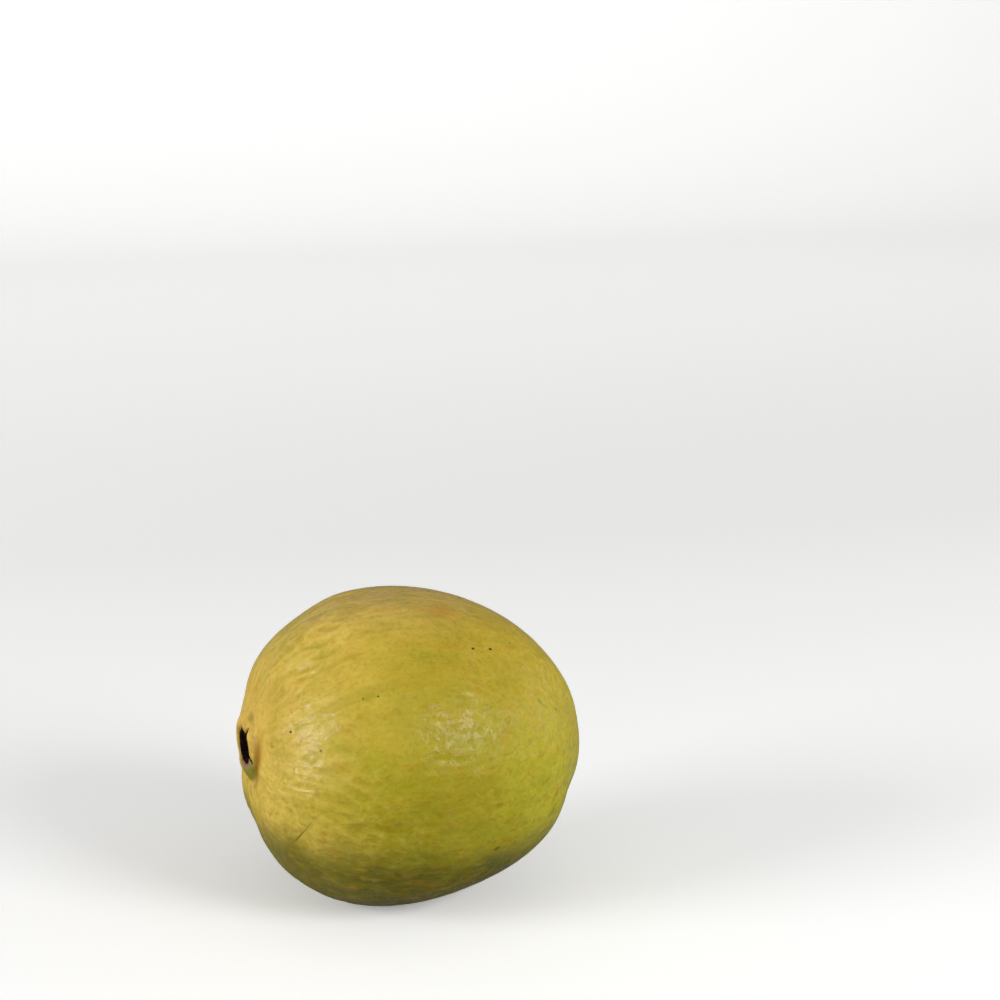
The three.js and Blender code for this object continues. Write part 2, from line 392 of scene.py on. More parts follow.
def resting_place():
    """The shift in X and Y and the ground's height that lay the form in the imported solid's box."""
    points = laid_down(grid_values(form, ring_arcs(), ring_turns()), (0.0, 0.0), NO_GROUND)
    low, high = points.min(axis=0), points.max(axis=0)
    solid_low, solid_high = (np.array(corner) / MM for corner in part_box(NODE))
    middle = (low + high)[:2] / 2 - (solid_low + solid_high)[:2] / 2
    return middle, low[2] + NO_GROUND + FLAT_DEPTH


MIDDLE, GROUND = resting_place()


def guava_skin():
    """The whole outside of the fruit: the form plus its wrinkles, which fade at the flat spot."""
    arcs, turns = ring_arcs(), ring_turns()
    surface = grid_values(form, arcs, turns)
    theta = grid_values(skin_angle, arcs, turns)
    phi = grid_values(lambda arc, turn: turn + 0 * arc, arcs, turns)
    lying = laid_down(surface, MIDDLE, GROUND)
    relief = wrinkles(theta, phi) * smooth_step(lying[:, 2], *FOOT_FADE)
    raised = surface + direction(theta, phi) * WRINKLE_RISE * relief[:, None]
    points = laid_down(raised, MIDDLE, GROUND) * MM
    attributes = {
        "arc": grid_values(lambda arc, turn: arc + 0 * turn, arcs, turns),
        "grain": around_and_along(theta, phi, 1.0, 1.0),
        "relief": relief,
    }
    faces = [face for part in grid_faces(len(arcs), SEGMENTS) for face in part.tolist()]
    return new_piece("guava_skin", points, faces, attributes)


def scattered(span, number):
    """A value in a span of least value and reach, set by the scatter of a number."""
    least, reach = span
    return least + reach * scatter(number)


def stamen_line(number, share):
    """Middle line of a dried stamen in the fruit's own frame, and its half thickness, by share.

    It stands on the cup's floor, leans and turns as it rises, and ends in a knob. The scatter of
    its number sets its place, lean and height.
    """
    foot = scattered(STAMEN_FOOT, number)
    tip = foot * scattered(STAMEN_TIP, number + 0.31)
    swirl = STAMEN_SWIRL * (scatter(number + 0.57) - 0.5)
    turn = radians(GOLDEN_TURN) * number + swirl * share**2
    radius = foot + (tip - foot) * share + STAMEN_BOW * np.sin(pi * share)
    floor = egg(direction(0.0, 0.0)) - CUP_DEPTH - STAMEN_SUNK
    reach = floor + scattered(STAMEN_TALL, number + 0.83) * share
    line = direction(radius / HALF_LENGTH, turn) * reach[:, None]
    knob = KNOB_GAIN * bell(share - KNOB_PLACE, KNOB_SPREAD)
    return line, STAMEN_RADIUS * (1 - STAMEN_TAPER * share + knob)


def calyx_remains():
    """The dried stamens left in the cup: round tubes about their middle lines, ends closed."""
    share = np.linspace(0, 1, STAMEN_RINGS)
    round_it = np.linspace(0, 2 * pi, STAMEN_SIDES, endpoint=False)
    across = np.stack((0 * round_it, np.cos(round_it), -np.sin(round_it)), axis=-1)
    points, faces = [], []
    for number in range(STAMEN_COUNT):
        line, thickness = stamen_line(number, share)
        tube = (line[:, None] + thickness[:, None, None] * across).reshape(-1, 3)
        parts = grid_faces(STAMEN_RINGS, STAMEN_SIDES)
        faces += [face for part in parts for face in (part + len(points)).tolist()]
        points += [line[0], *tube, line[-1]]
    laid = laid_down(np.array(points), MIDDLE, GROUND) * MM
    return new_piece("calyx_remains", laid, faces, {})


# ---- Shader building ----


def seen(red, green, blue):
    """A colour from 0 to 255 as seen on a screen, as the linear colour that a socket takes.

    It is the standard screen curve: a straight line up to 10, and a power of 2.4 above it.
    """
    parts = (red, green, blue)
    linear = [c / 3294.6 if c <= 10 else ((c / 255 + 0.055) / 1.055) ** 2.4 for c in parts]
    return (*linear, 1.0)


def put(tree, kind, inputs=None, **settings):
    """Adds a node, sets its properties, and fills its inputs from values or from other sockets."""
    node = tree.nodes.new(kind)
    for name, value in settings.items():
        setattr(node, name, value)
    for key, value in (inputs or {}).items():
        socket = node.inputs[key]
        if isinstance(value, bpy.types.NodeSocket):
            tree.links.new(value, socket)
        else:
            socket.default_value = value
    return node


def ramp(tree, value, start, end, low=0.0, high=1.0):
    """Smooth rise from low at start to high at end."""
    inputs = {0: value, 1: start, 2: end, 3: low, 4: high}
    return put(tree, "ShaderNodeMapRange", inputs, interpolation_type="SMOOTHSTEP").outputs[0]


def maths(tree, operation, *values):
    """One arithmetic operation on numbers or sockets."""
    inputs = dict(enumerate(values))
    return put(tree, "ShaderNodeMath", inputs, operation=operation).outputs[0]


def times(tree, first, second):
    """Product of two numbers or sockets."""
    return maths(tree, "MULTIPLY", first, second)


def plus(tree, first, second):
    """Sum of two numbers or sockets."""
    return maths(tree, "ADD", first, second)


def along(tree, vector, way):
    """How far a vector reaches along a given way: their dot product."""
    node = put(tree, "ShaderNodeVectorMath", {0: vector, 1: way}, operation="DOT_PRODUCT")
    return node.outputs["Value"]


def unit(turn):
    """The way of a turn in the grain vector's plane, so that along() gives its cosine."""
    return (cos(radians(turn)), sin(radians(turn)), 0.0)


def blend(tree, share, below, above):
    """Colour above over colour below, by share."""
    node = put(tree, "ShaderNodeMix", data_type="RGBA")
    for index, value in ((0, share), (6, below), (7, above)):
        if isinstance(value, bpy.types.NodeSocket):
            tree.links.new(value, node.inputs[index])
        else:
            node.inputs[index].default_value = value
    return node.outputs[2]


def tinted(tree, colour, value, span, most, tint):
    """Colour with a tint over it that sets in, up to its most, as a value passes along a span."""
    return blend(tree, ramp(tree, value, *span, 0.0, most), colour, seen(*tint))


def attribute(tree, name):
    """A value stored at the mesh's points."""
    return put(tree, "ShaderNodeAttribute", attribute_name=name)


def object_place(tree):
    """Object coordinates: metres in the shared frame."""
    return put(tree, "ShaderNodeTexCoord").outputs["Object"]


def height_above_ground(tree, place):
    """The Z of Object coordinates."""
    return put(tree, "ShaderNodeSeparateXYZ", {0: place}).outputs[2]


def noise(tree, vector, scale, detail=2.0, roughness=0.5, warp=0.0):
    """Noise from 0 to 1, mostly near 0.5, with scale patches to a unit of the vector."""
    inputs = {
        "Vector": vector,
        "Scale": scale,
        "Detail": detail,
        "Roughness": roughness,
        "Distortion": warp,
    }
    return put(tree, "ShaderNodeTexNoise", inputs).outputs["Fac"]


def uneven(tree, vector, scale, detail, reach):
    """Noise about zero, multiplied by its reach."""
    return times(tree, plus(tree, noise(tree, vector, scale, detail), -0.5), reach)


def scaled(tree, vector, *scale):
    """A vector with its own scale on each axis: a low one draws a pattern out along that axis."""
    return put(tree, "ShaderNodeMapping", {"Vector": vector, "Scale": scale}).outputs[0]


def new_group(name, inputs, outputs):
    """An empty node group with named sockets: its tree, its given values and its results.

    An input whose default is None is a vector. Every other socket is a number.
    """
    tree = bpy.data.node_groups.new(name, "ShaderNodeTree")
    for label, value in inputs.items():
        kind = "NodeSocketVector" if value is None else "NodeSocketFloat"
        socket = tree.interface.new_socket(name=label, in_out="INPUT", socket_type=kind)
        if value is not None:
            socket.default_value = value
    for label in outputs:
        tree.interface.new_socket(name=label, in_out="OUTPUT", socket_type="NodeSocketFloat")
    return tree, tree.nodes.new("NodeGroupInput").outputs, tree.nodes.new("NodeGroupOutput").inputs


MOTTLE_ROUGHNESS = 0.55


def mottle_group():
    """Clouds: noise that is cut between Low and High into a mask of strength 0 to 1."""
    defaults = {"Vector": None, "Scale": 1.0, "Detail": 2.0, "Warp": 0.0, "Low": 0.4, "High": 0.6}
    tree, given, result = new_group("mottle", defaults, ["Mask"])
    pattern = (given["Scale"], given["Detail"], MOTTLE_ROUGHNESS, given["Warp"])
    cloud = noise(tree, given["Vector"], *pattern)
    tree.links.new(ramp(tree, cloud, given["Low"], given["High"]), result["Mask"])
    return tree


def oval_mark_group():
    """A mark round the vector's zero point, out to length 1, its soft edge uneven by Ragged."""
    defaults = {"Vector": None, "Ragged": 0.0, "Softness": 0.3, "Strength": 1.0}
    tree, given, result = new_group("oval_mark", defaults, ["Mask"])
    length = put(tree, "ShaderNodeVectorMath", {0: given["Vector"]}, operation="LENGTH")
    reach = plus(tree, length.outputs["Value"], given["Ragged"])
    inner = maths(tree, "SUBTRACT", 1.0, given["Softness"])
    outer = plus(tree, given["Softness"], 1.0)
    tree.links.new(ramp(tree, reach, inner, outer, given["Strength"], 0.0), result["Mask"])
    return tree


MOTTLE = mottle_group()
OVAL_MARK = oval_mark_group()


def clouds(tree, vector, scale, cut, detail=2.0, warp=0.0):
    """Clouds of the mottle group, cut between a low and a high noise value."""
    inputs = {
        "Vector": vector,
        "Scale": scale,
        "Detail": detail,
        "Warp": warp,
        "Low": cut[0],
        "High": cut[1],
    }
    return put(tree, "ShaderNodeGroup", inputs, node_tree=MOTTLE).outputs["Mask"]


# ---- Skin ----

BROWN, UMBER, ORANGE = (64, 40, 12), (112, 84, 26), (186, 138, 48)
# The last colour on the next line is a painted highlight glint.
OLIVE, ROSE, PAINTED_GLINT = (118, 128, 28), (178, 132, 84), (226, 206, 124)

# Marks on the skin: theta and phi in degrees, half length and half width in mm, turn in degrees
# from the line that runs end to end, then colour, strength and how soft the edge is.
MARKS = (
    (98.9, 124.5, 0.40, 0.36, 0, BROWN, 1.0, 0.4),
    (106.3, 123.5, 0.42, 0.38, 0, BROWN, 1.0, 0.4),
    (109.4, 123.5, 0.95, 0.40, 0, ORANGE, 0.6, 0.6),
    (57.3, 143.5, 0.26, 0.22, 0, BROWN, 0.8, 0.5),
    (62.1, 143.5, 0.28, 0.24, 0, BROWN, 0.85, 0.5),
    (30.8, 152.5, 0.38, 0.32, 0, BROWN, 1.0, 0.5),
    (41.1, 161.5, 0.90, 0.55, 20, ROSE, 0.5, 0.8),
    (42.4, 163.5, 0.36, 0.30, 20, BROWN, 0.7, 0.6),
    (104.3, 88.0, 0.45, 0.45, 0, BROWN, 0.9, 0.5),
    (124.8, 109.0, 0.30, 0.30, 0, BROWN, 0.8, 0.5),
    (116.1, 118.0, 0.26, 0.26, 0, BROWN, 0.7, 0.5),
    (134.3, 145.0, 0.30, 0.26, 0, BROWN, 0.7, 0.5),
    (125.0, 144.0, 1.30, 0.30, -42, OLIVE, 0.7, 0.5),
    (108.6, 204.0, 1.00, 0.55, 15, UMBER, 0.8, 0.6),
    (39.0, 213.0, 2.95, 0.22, 75, UMBER, 0.85, 0.7),
    (41.1, 202.8, 2.10, 0.16, 72, UMBER, 0.5, 0.7),
    (90.4, 106.5, 4.50, 3.00, 0, ORANGE, 0.6, 0.9),
    (12.0, 111.0, 1.50, 1.00, 80, UMBER, 0.55, 0.9),
    (21.8, 161.5, 0.50, 0.40, 0, UMBER, 0.4, 0.7),
    # Painted highlight: a pale glint stroke near the crown.
    (36.5, 184.3, 3.60, 0.40, 9, PAINTED_GLINT, 0.4, 0.8),
    # The back and the underside:
    (64.0, 20.0, 0.50, 0.42, 0, BROWN, 0.85, 0.5),
    (71.0, 352.0, 0.35, 0.30, 0, BROWN, 0.8, 0.5),
    (88.0, 46.0, 3.20, 0.22, 24, UMBER, 0.6, 0.8),
    (118.0, 338.0, 1.10, 0.70, 30, UMBER, 0.6, 0.7),
    (132.0, 12.0, 0.40, 0.35, 0, BROWN, 0.8, 0.5),
    (52.0, 318.0, 2.40, 0.30, 70, OLIVE, 0.6, 0.6),
    (96.0, 282.0, 1.40, 1.00, 10, ORANGE, 0.6, 0.9),
    (142.0, 300.0, 0.40, 0.40, 0, BROWN, 0.8, 0.5),
    (78.0, 60.0, 3.60, 2.60, 0, ORANGE, 0.45, 0.9),
)


PROBE = 0.02  # radians between the points that give the skin's slope at a mark


def skin_place(theta, phi):
    """A point of the laid skin in metres, and axes there: X to the stem end, Z outwards."""
    arc, turn = radians(theta) * HALF_LENGTH, radians(phi)
    arcs = np.array((arc, arc + PROBE * HALF_LENGTH, arc))
    turns = np.array((turn, turn, turn + PROBE))
    laid = laid_down(form(arcs, turns), MIDDLE, GROUND) * MM
    middle, ahead, beside = (Vector(point) for point in laid)
    x = (ahead - middle).normalized()
    z = x.cross(beside - middle).normalized()
    if z.dot(middle - FRUIT_CENTRE) < 0:
        z.negate()
    return middle, Matrix((x, z.cross(x), z)).transposed()


def marked(tree, colour, place, ragged, mark):
    """Colour with one mark on it: Object coordinates in the mark's own frame and half sizes."""
    theta, phi, half_length, half_width, turn, tint, strength, softness = mark
    middle, frame_there = skin_place(theta, phi)
    turned = frame_there @ Matrix.Rotation(radians(turn), 3, "Z")
    inputs = {
        "Vector": place,
        "Location": middle,
        "Rotation": turned.to_euler(),
        "Scale": (half_length * MM, half_width * MM, max(half_length, half_width) * MM),
    }
    local = put(tree, "ShaderNodeMapping", inputs, vector_type="TEXTURE").outputs[0]
    edge = {"Vector": local, "Ragged": ragged, "Softness": softness, "Strength": strength}
    mask = put(tree, "ShaderNodeGroup", edge, node_tree=OVAL_MARK).outputs["Mask"]
    return blend(tree, mask, colour, seen(*tint))


# Ground colours. Ripeness grows from the stem end and the underside to the calyx end and the top:
# a way in Object coordinates, per metre, and a constant.
RIPENESS_WAY, RIPENESS_BASE = (-7.8, 0.0, 4.6), 0.465
DRIFT_SCALE, DRIFT_REACH = 38.0, 0.4
STEM_END_GREEN = (182, 175, 46)
OLIVE_GOLD, OLIVE_SPAN = (166, 153, 32), (0.3, 0.74)
PEACH, PEACH_SPAN = (208, 177, 76), (0.74, 1.04)
# Layers by height, metres: where each sets in, its most and its colour.
# Partly a warm blush of the skin, partly painted light: the top made brighter and warmer.
TOP_LIGHT_WAY = (0.45, 0.0, 1.0)
TOP_BLUSH_AND_PAINTED_LIGHT = ((0.05, 0.084), 0.55, (208, 172, 62))
# Painted sheen: the highest band of the top made paler.
TOP_PAINTED_SHEEN = ((0.072, 0.080), 0.5, (218, 180, 98))
WANDER_SCALE, WANDER_REACH = 70.0, 0.012
# Partly a greener skin low down, partly painted shade: the lower middle made darker olive.
SHADE_MIDDLE_X, SHADE_RISE = 0.008, 0.35  # the green and its painted shade reach highest at this X, and sink away from it
LOW_GREEN_AND_PAINTED_SHADE = ((0.044, 0.029), 0.34, (126, 121, 18))
# Painted light: the calyx end's lower side made paler.
LOW_CALYX_LIGHT_WAY = (-1.0, 0.0, -1.0)
LOW_CALYX_PAINTED_LIGHT = ((-0.02, 0.01), 0.8, (222, 194, 84))
# Partly a greener underside, partly painted shade: the underside made dark olive.
UNDER_SHADE_WAY = (0.12, 0.0, 1.0)
UNDER_GREEN_AND_PAINTED_SHADE = ((0.0335, 0.0220), 0.88, (82, 84, 10))
NEAR_CROWN = ((30.0, 12.0), 0.4, (214, 172, 90))  # by arc, mm


def ripe_colour(tree, place, arc):
    """Green-yellow at the stem end and below, olive gold in the middle, peach at the calyx end;
    painted light on the top and the calyx end's lower side, painted shade low down.
    """
    drift = uneven(tree, place, DRIFT_SCALE, 2.0, DRIFT_REACH)
    ripe = plus(tree, along(tree, place, RIPENESS_WAY), drift)
    ripe = plus(tree, ripe, RIPENESS_BASE)
    colour = tinted(tree, seen(*STEM_END_GREEN), ripe, OLIVE_SPAN, 1.0, OLIVE_GOLD)
    colour = tinted(tree, colour, ripe, PEACH_SPAN, 1.0, PEACH)
    x, _, height = put(tree, "ShaderNodeSeparateXYZ", {0: place}).outputs
    # Painted light on the top, with a warm blush.
    colour = tinted(tree, colour, along(tree, place, TOP_LIGHT_WAY), *TOP_BLUSH_AND_PAINTED_LIGHT)
    # Painted sheen along the top.
    colour = tinted(tree, colour, height, *TOP_PAINTED_SHEEN)
    wander = times(tree, noise(tree, place, WANDER_SCALE, 2.0), WANDER_REACH)
    # Painted shade low in the middle, with a greener skin.
    from_shade_middle = maths(tree, "ABSOLUTE", plus(tree, x, -SHADE_MIDDLE_X))
    low_shade_level = plus(tree, plus(tree, height, wander), times(tree, from_shade_middle, SHADE_RISE))
    colour = tinted(tree, colour, low_shade_level, *LOW_GREEN_AND_PAINTED_SHADE)
    # Painted light on the calyx end's lower side.
    colour = tinted(tree, colour, along(tree, place, LOW_CALYX_LIGHT_WAY), *LOW_CALYX_PAINTED_LIGHT)
    # Painted shade on the underside, with a greener skin.
    under_shade_level = plus(tree, along(tree, place, UNDER_SHADE_WAY), wander)
    colour = tinted(tree, colour, under_shade_level, *UNDER_GREEN_AND_PAINTED_SHADE)
    return tinted(tree, colour, arc, *NEAR_CROWN)


# Clouds: patches to a metre, low and high cut, detail, warp, strength and colour.
BROAD_CLOUDS = (
    (105.0, (0.42, 0.75), 3.0, 0.6, 0.25, (144, 138, 20)),
    (80.0, (0.5, 0.8), 2.0, 0.4, 0.3, (188, 156, 44)),
)
DRAWN_OUT = (0.34, 1.0, 1.0)
MOTTLES = (260.0, 3.0, 0.6, 0.3)  # patches to a metre, detail, roughness and warp
ORANGE_MOTTLES = ((0.52, 0.75), 0.4, (192, 144, 42))
GREEN_MOTTLES = ((0.48, 0.25), 0.4, (136, 142, 22))
STREAKS, STREAK_COLOUR = (520.0, (0.46, 0.75), 3.0, 0.5), (146, 118, 10)
STREAK_RISE = (0.06, 0.025, 0.25, 0.7)  # height in metres, from and to, and the strength there
FLECKS, FLECK_SHARE, FLECK_COLOUR = (620.0, (0.5, 0.75), 2.0, 0.3), 0.22, (206, 184, 78)
GLANDS, GLAND_SHARE, GLAND_COLOUR = (900.0, (0.45, 0.75), 1.0), 0.26, (132, 116, 14)
LENTICEL_SCALE, LENTICEL_SHARE, LENTICEL_COLOUR = 120.0, 0.5, (120, 92, 18)
LENTICEL_CHANCE = (0.55, 0.6)
LENTICEL_EDGE = (0.045, 0.015)  # distance from a cell's point, where one cell is 1
PAINTED_HOLLOW_SHADE = ((0.05, -0.6), 0.22, (140, 130, 24))  # by relief: painted shade in the wrinkles' hollows
# Painted highlight: wrinkle crests made paler, more so higher up.
CREST_HIGHLIGHT_SPAN, PAINTED_CREST_HIGHLIGHT = (0.25, 0.75), (216, 198, 104)
CREST_HIGHLIGHT_RISE = (0.014, 0.036, 0.06, 0.28)  # height in metres, from and to, and the strength there


def mottled_colour(tree, colour, place, relief):
    """Soft clouds of olive and gold, smaller green and orange ones, streaks, painted shade in the
    hollows and painted highlight on the crests.
    """
    for scale, cut, detail, warp, share, tint in BROAD_CLOUDS:
        mask = times(tree, clouds(tree, place, scale, cut, detail, warp), share)
        colour = blend(tree, mask, colour, seen(*tint))
    lengthwise = scaled(tree, place, *DRAWN_OUT)
    small = noise(tree, lengthwise, *MOTTLES)
    colour = tinted(tree, colour, small, *ORANGE_MOTTLES)
    colour = tinted(tree, colour, small, *GREEN_MOTTLES)
    height = height_above_ground(tree, place)
    streaks = times(tree, clouds(tree, lengthwise, *STREAKS), ramp(tree, height, *STREAK_RISE))
    colour = blend(tree, streaks, colour, seen(*STREAK_COLOUR))
    flecks = times(tree, clouds(tree, lengthwise, *FLECKS), FLECK_SHARE)
    colour = blend(tree, flecks, colour, seen(*FLECK_COLOUR))
    glands = times(tree, clouds(tree, place, *GLANDS), GLAND_SHARE)
    colour = blend(tree, glands, colour, seen(*GLAND_COLOUR))
    cells = put(tree, "ShaderNodeTexVoronoi", {"Vector": place, "Scale": LENTICEL_SCALE}).outputs
    few = ramp(tree, along(tree, cells["Color"], (1.0, 0.0, 0.0)), *LENTICEL_CHANCE)
    lenticels = times(tree, ramp(tree, cells["Distance"], *LENTICEL_EDGE), few)
    lenticels = times(tree, lenticels, LENTICEL_SHARE)
    colour = blend(tree, lenticels, colour, seen(*LENTICEL_COLOUR))
    # Painted shade in the wrinkles' hollows.
    colour = tinted(tree, colour, relief, *PAINTED_HOLLOW_SHADE)
    # Painted highlight on the crests.
    crest_highlight = times(tree, ramp(tree, relief, *CREST_HIGHLIGHT_SPAN), ramp(tree, height, *CREST_HIGHLIGHT_RISE))
    return blend(tree, crest_highlight, colour, seen(*PAINTED_CREST_HIGHLIGHT))


STROKE_RATES = (13.0, 13.0, 7.5)  # patches to a unit of the grain vector, lengthwise last
STROKE_PATTERN, STROKE_WIDTH = (1.0, 2.0, 0.5, 0.3), 0.17  # scale, detail, roughness and warp
CELL_PATTERN, CELL_WIDTH = (470.0, 2.0, 0.5, 0.2), 0.15
STROKES_TO_CELLS = (26.0, 52.0)  # by arc, mm
NETWORK_START = (11.0, 24.0)
NETWORK_PATCHES = (170.0, 1.0)
NETWORK_STRENGTH = (0.3, 0.55, 0.5, 1.0)  # noise value, from and to, and the strength there


def ridged(tree, pattern, width):
    """Rounded lines where a noise passes its middle value, 1 on the line and 0 at the width."""
    away = maths(tree, "ABSOLUTE", plus(tree, pattern, -0.5))
    return ramp(tree, away, 0.0, width, 1.0, 0.0)


def fine_network(tree, place, grain, arc):
    """Fine broken lines: meridian strokes near the crown, irregular cells further along."""
    strokes = noise(tree, scaled(tree, grain, *STROKE_RATES), *STROKE_PATTERN)
    lines = {
        0: ramp(tree, arc, *STROKES_TO_CELLS),
        2: ridged(tree, strokes, STROKE_WIDTH),
        3: ridged(tree, noise(tree, place, *CELL_PATTERN), CELL_WIDTH),
    }
    both = put(tree, "ShaderNodeMix", lines, data_type="FLOAT").outputs[0]
    both = times(tree, both, ramp(tree, arc, *NETWORK_START))
    patches = ramp(tree, noise(tree, place, *NETWORK_PATCHES), *NETWORK_STRENGTH)
    return times(tree, both, patches)


CROWN_SCALE, CROWN_DETAIL = 700.0, 3.0
RING_REACH, FRINGE_REACH, EDGE_REACH = 1.6, 3.0, 1.0  # mm that the crown's borders wander
BLOTCH_SPAN, BLOTCH_END, BLOTCH_COLOUR = (0.02, 0.2, 0.0, 0.5), (12.0, 8.0), (160, 126, 40)
# Brown crease outside the lip, partly brown skin and partly painted shade of the groove, a painted
# olive shade below the lip, and a greyish tint on the lip: arcs in mm over which each sets in and
# ends, its turn, cosines away from it, its most and its colour. An arc below zero means that it is
# there from the middle on.
CROWN_SIDES = (
    ((6.9, 8.8), (13.6, 10.2), 190, (0.62, 0.98), 0.9, (146, 102, 12)),
    ((4.6, 5.8), (10.0, 7.8), 238, (0.4, 0.9), 0.85, (112, 108, 26)),
    ((-2.0, -1.0), (6.4, 5.2), 250, (0.3, 0.85), 0.85, (150, 130, 108)),
)
FRINGE = ((5.9, 4.6), 0.7, (116, 76, 34))
CUP_EDGE = (4.6, 4.15)
# The cup: the dried tissue's own dark brown, made near-black as painted shade of the deep cup.
CUP_SPAN, CUP_DARK_AND_SHADE, CUP_BROWN = (-0.05, 0.2), (18, 6, 7), (56, 26, 14)


def crown_colour(tree, colour, place, arc, grain):
    """Blotches round the lip, painted shade in the crease and under the lip, a brown fringe at the
    mouth and the near-black cup, whose darkness is partly painted shade.
    """
    ragged = plus(tree, noise(tree, place, CROWN_SCALE, CROWN_DETAIL), -0.5)
    ring = plus(tree, arc, times(tree, ragged, RING_REACH))
    blotches = times(tree, ramp(tree, ragged, *BLOTCH_SPAN), ramp(tree, ring, *BLOTCH_END))
    colour = blend(tree, blotches, colour, seen(*BLOTCH_COLOUR))
    # Painted shade: the crease outside the lip and the lip's lower side darkened.
    for inner, outer, turn, cosines, most, tint in CROWN_SIDES:
        band = times(tree, ramp(tree, ring, *inner), ramp(tree, ring, *outer))
        side = ramp(tree, along(tree, grain, unit(turn)), *cosines, 0.0, most)
        colour = blend(tree, times(tree, band, side), colour, seen(*tint))
    fringe = plus(tree, arc, times(tree, ragged, FRINGE_REACH))
    colour = tinted(tree, colour, fringe, *FRINGE)
    edge = plus(tree, arc, times(tree, ragged, EDGE_REACH))
    # Dried brown tissue with painted shade of the deep cup.
    inside = tinted(tree, seen(*CUP_DARK_AND_SHADE), ragged, CUP_SPAN, 1.0, CUP_BROWN)
    return blend(tree, ramp(tree, edge, *CUP_EDGE), colour, inside)


SCAR_SCALE, SCAR_DETAIL, SCAR_REACH = 1100.0, 3.0, 0.9
CORK_SCALE, CORK_DARK, CORK_PALE = 2400.0, (96, 72, 42), (168, 140, 96)
# By distance from the stem pole, mm: where each sets in, its most and its colour.
SCAR_HALO = ((6.5, 3.0), 0.5, (150, 138, 40))
SCAR_OUTLINE = ((3.1, 2.7), 1.0, (70, 50, 26))
CORK_SPAN = (2.75, 2.35)
SCAR_PIT = ((1.15, 0.7), 1.0, (44, 30, 20))


def stem_colour(tree, colour, place, arc):
    """Corky scar: a mottled brown disc with a dark outline and a dark pit."""
    away = maths(tree, "SUBTRACT", pi * HALF_LENGTH, arc)
    away = plus(tree, away, uneven(tree, place, SCAR_SCALE, SCAR_DETAIL, SCAR_REACH))
    colour = tinted(tree, colour, away, *SCAR_HALO)
    colour = tinted(tree, colour, away, *SCAR_OUTLINE)
    cork = blend(tree, noise(tree, place, CORK_SCALE, 2.0), seen(*CORK_DARK), seen(*CORK_PALE))
    colour = blend(tree, ramp(tree, away, *CORK_SPAN), colour, cork)
    return tinted(tree, colour, away, *SCAR_PIT)


MARK_EDGE_SCALE, MARK_EDGE_REACH = 2600.0, 0.5
# Relief that is only shaded, mm: noise settings and height.
NETWORK_HEIGHT = 0.04
PORES, PORE_HEIGHT = (1700.0, 1.0, 0.6), 0.02
GRIT, GRIT_HEIGHT = (420.0, 2.0, 0.5), 0.22
FOLDS_DRAWN_OUT = (0.4, 1.0, 1.0)
FOLDS, FOLD_HEIGHT = (260.0, 1.0), 0.5
# The network is smoother and waxier than the skin between its lines: how far onto a line each
# change starts and ends, then the value off the lines and on them.
ROUGHNESS_RANGE = (0.1, 0.9, 0.44, 0.31)
WAX_RANGE = (0.1, 0.9, 0.05, 0.45)
DULL_TO_WAXY = (0.03, 0.19)  # brightness of the colour
CUP_ROUGH = (4.6, 4.0)  # by arc, mm
COAT_ROUGHNESS = 0.33
WAX_IOR = 1.45
SPECULAR_LEVEL = 0.14
SPECULAR_TINT = (1.0, 0.93, 0.74, 1.0)


def skin_heights(tree, place, network):
    """Height of the shaded relief, mm: the network, pores, grit and lengthwise folds added up."""
    fine = plus(
        tree,
        times(tree, network, NETWORK_HEIGHT),
        times(tree, noise(tree, place, *PORES), PORE_HEIGHT),
    )
    folds = noise(tree, scaled(tree, place, *FOLDS_DRAWN_OUT), *FOLDS)
    coarse = plus(
        tree,
        times(tree, noise(tree, place, *GRIT), GRIT_HEIGHT),
        times(tree, folds, FOLD_HEIGHT),
    )
    return plus(tree, fine, coarse)


def new_material(name):
    """A material with its node tree and its shader node."""
    material = bpy.data.materials.new(name)
    material.use_nodes = True
    return material, material.node_tree, material.node_tree.nodes["Principled BSDF"]


def guava_skin_finish():
    """Ripe skin: its colours from ground to marks, shaded relief, and wax that shines on it."""
    material, tree, shader = new_material("guava_skin_finish")
    place = object_place(tree)
    arc = attribute(tree, "arc").outputs["Fac"]
    grain = attribute(tree, "grain").outputs["Vector"]
    relief = attribute(tree, "relief").outputs["Fac"]
    ragged = uneven(tree, place, MARK_EDGE_SCALE, 2.0, MARK_EDGE_REACH)

    colour = ripe_colour(tree, place, arc)
    colour = mottled_colour(tree, colour, place, relief)
    for mark in MARKS:
        colour = marked(tree, colour, place, ragged, mark)
    colour = crown_colour(tree, colour, place, arc, grain)
    colour = stem_colour(tree, colour, place, arc)

    network = fine_network(tree, place, grain, arc)
    heights = skin_heights(tree, place, network)
    bump = put(tree, "ShaderNodeBump", {"Strength": 1.0, "Distance": MM, "Height": heights})
    rough = ramp(tree, network, *ROUGHNESS_RANGE)
    rough = maths(tree, "MAXIMUM", rough, ramp(tree, arc, *CUP_ROUGH))
    brightness = put(tree, "ShaderNodeRGBToBW", {0: colour}).outputs[0]
    wax = times(tree, ramp(tree, network, *WAX_RANGE), ramp(tree, brightness, *DULL_TO_WAXY))
    tree.links.new(colour, shader.inputs["Base Color"])
    tree.links.new(rough, shader.inputs["Roughness"])
    tree.links.new(wax, shader.inputs["Coat Weight"])
    tree.links.new(bump.outputs[0], shader.inputs["Normal"])
    tree.links.new(bump.outputs[0], shader.inputs["Coat Normal"])
    shader.inputs["Coat Roughness"].default_value = COAT_ROUGHNESS
    shader.inputs["Coat IOR"].default_value = WAX_IOR
    shader.inputs["IOR"].default_value = WAX_IOR
    shader.inputs["Specular IOR Level"].default_value = SPECULAR_LEVEL
    shader.inputs["Specular Tint"].default_value = SPECULAR_TINT
    return material


